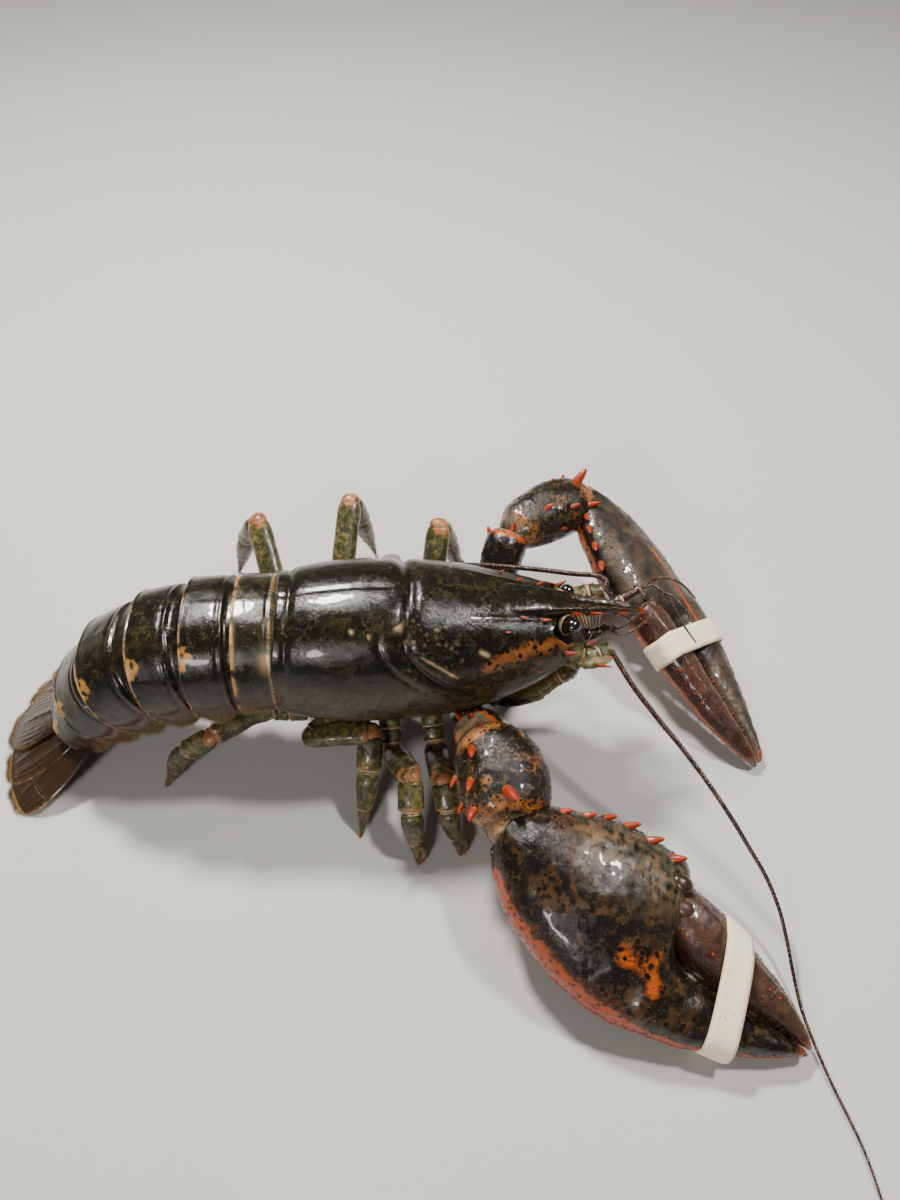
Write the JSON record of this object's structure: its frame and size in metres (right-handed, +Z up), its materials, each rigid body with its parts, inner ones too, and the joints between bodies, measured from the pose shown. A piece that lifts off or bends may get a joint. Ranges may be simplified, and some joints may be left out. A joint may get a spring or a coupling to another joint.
{
  "type": "american lobster model",
  "caption": "Life-size still model of a dark american lobster at rest, its banded claws folded in front and its jointed tail lowered to the floor.",
  "frame": {"origin": "middle of the model's box at floor level, where its legs, claws and tail fan rest", "axes": "+X along the body towards the head, +Y to the animal's left, +Z up from the floor to the back"},
  "size_m": [0.3228, 0.3043, 0.0927],
  "materials": {
    "shell": "wet green-black shell",
    "tail_shell": "wet green-black shell",
    "claw_shell": "wet brown-black shell",
    "leg_shell": "wet olive shell",
    "feeler": "glossy red-brown",
    "eye": "glossy black",
    "underside": "wet brown skin and shell",
    "rubber_band": "matte off-white"
  },
  "bodies": {
    "root": {"carapace": "shell", "thorax": "underside", "head": "underside", "eyestalk_left": "underside", "eye_left": "eye", "eyestalk_right": "underside", "eye_right": "eye", "mouth_limb_left": "underside", "mouth_limb_right": "underside", "somite_1": "tail_shell", "somite_2": "tail_shell", "somite_3": "tail_shell", "somite_4": "tail_shell", "somite_5": "tail_shell", "somite_6": "tail_shell", "telson": "tail_shell", "tail_fan_inner_left": "tail_shell", "tail_fan_inner_right": "tail_shell", "tail_fan_outer_left": "tail_shell", "tail_fan_outer_right": "tail_shell", "claw_hip_left": "claw_shell", "claw_arm_left": "claw_shell", "claw_elbow_left": "claw_shell", "claw_palm_left": "claw_shell", "claw_thumb_left": "claw_shell", "claw_band_left": "rubber_band", "claw_hip_right": "claw_shell", "claw_arm_right": "claw_shell", "claw_elbow_right": "claw_shell", "claw_palm_right": "claw_shell", "claw_thumb_right": "claw_shell", "claw_band_right": "rubber_band", "antenna_stem_left": "underside", "antenna_near_left": "feeler", "antenna_far_left": "feeler", "antennule_left": "feeler", "antenna_stem_right": "underside", "antenna_near_right": "feeler", "antenna_far_right": "feeler", "antennule_right": "feeler", "leg_upper_left_2": "leg_shell", "leg_lower_left_2": "leg_shell", "leg_upper_left_3": "leg_shell", "leg_lower_left_3": "leg_shell", "leg_upper_left_4": "leg_shell", "leg_lower_left_4": "leg_shell", "leg_upper_left_5": "leg_shell", "leg_lower_left_5": "leg_shell", "leg_upper_right_2": "leg_shell", "leg_lower_right_2": "leg_shell", "leg_upper_right_3": "leg_shell", "leg_lower_right_3": "leg_shell", "leg_upper_right_4": "leg_shell", "leg_lower_right_4": "leg_shell", "leg_upper_right_5": "leg_shell", "leg_lower_right_5": "leg_shell"}
  },
  "joints": []
}
